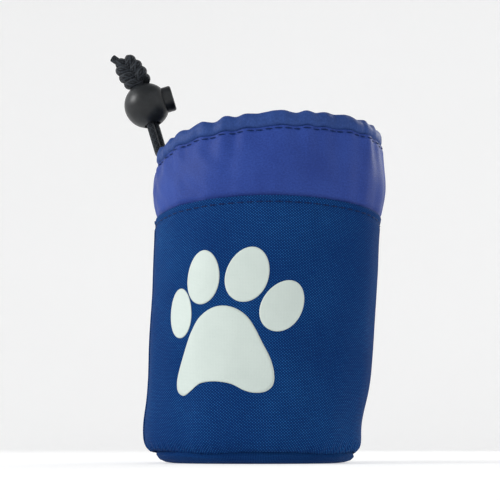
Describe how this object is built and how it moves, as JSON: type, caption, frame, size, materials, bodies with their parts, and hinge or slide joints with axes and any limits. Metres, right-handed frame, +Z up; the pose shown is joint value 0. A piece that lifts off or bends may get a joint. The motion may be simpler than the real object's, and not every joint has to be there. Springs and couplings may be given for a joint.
{
  "type": "treat pouch",
  "caption": "Upright oval fabric treat pouch with a drawstring mouth, a sprung ball cord lock, a paw print and a fold-down belt strap.",
  "frame": {"origin": "centre of the base, on the surface the pouch stands on", "axes": "+Z up; the front with the print faces -Y, the belt strap is at +Y and the drawstring leaves at -X"},
  "size_m": [0.1045, 0.0744, 0.1626],
  "materials": {
    "canvas": "woven Oxford canvas, royal blue",
    "lining": "plain woven nylon, blue",
    "collar_nylon": "fine twill nylon with a slight sheen, lighter blue",
    "thread": "polyester sewing thread, dark blue",
    "strap_canvas": "folded Oxford canvas strap, royal blue",
    "loop_tape": "soft loop tape, navy",
    "hook_tape": "hook tape, navy",
    "print": "heat-pressed film, off-white",
    "lock_plastic": "satin moulded plastic, black",
    "spring_steel": "drawn spring wire",
    "cord": "braided polyester cord, black"
  },
  "bodies": {
    "pouch": {"outer_shell": "canvas", "base_panel": "canvas", "side_seam": "canvas", "liner_base": "lining", "liner_bag": "lining", "collar": "collar_nylon", "drawstring_channel": "collar_nylon", "shell_edge_stitching": "thread", "channel_stitching": "thread", "side_seam_stitching": "thread", "anchor_stitching_low": "thread", "anchor_stitching_high": "thread", "strap_anchor": "strap_canvas", "loop_patch": "loop_tape", "print_pad": "print", "print_toe_outer_left": "print", "print_toe_inner_left": "print", "print_toe_inner_right": "print", "print_toe_outer_right": "print", "drawstring_loop": "cord", "cord_tail_front": "cord", "cord_tail_back": "cord", "stopper_knot": "cord"},
    "cord_lock": {"cord_lock_body": "lock_plastic", "cord_lock_spring": "spring_steel"},
    "plunger": {"cord_lock_plunger": "lock_plastic"},
    "belt_flap": {"belt_flap": "strap_canvas", "hook_patch": "hook_tape", "flap_stitching": "thread"}
  },
  "joints": [
    {"name": "cord_lock_slide", "type": "slide", "parent": "pouch", "child": "cord_lock", "axis": [-0.2924, 0, 0.9563], "range_m": [-0.0085, 0]},
    {"name": "plunger_press", "type": "slide", "parent": "cord_lock", "child": "plunger", "axis": [-0.9563, 0, -0.2924], "range_m": [0, 0.002], "stiffness_N_per_m": 600, "springref_m": -0.003, "deforming": ["cord_lock_spring"]},
    {"name": "belt_flap_hinge", "type": "hinge", "parent": "pouch", "child": "belt_flap", "pos_m": [0.0025, 0.03495, 0.076], "axis": [1, 0, 0], "range_deg": [0, 135]}
  ]
}
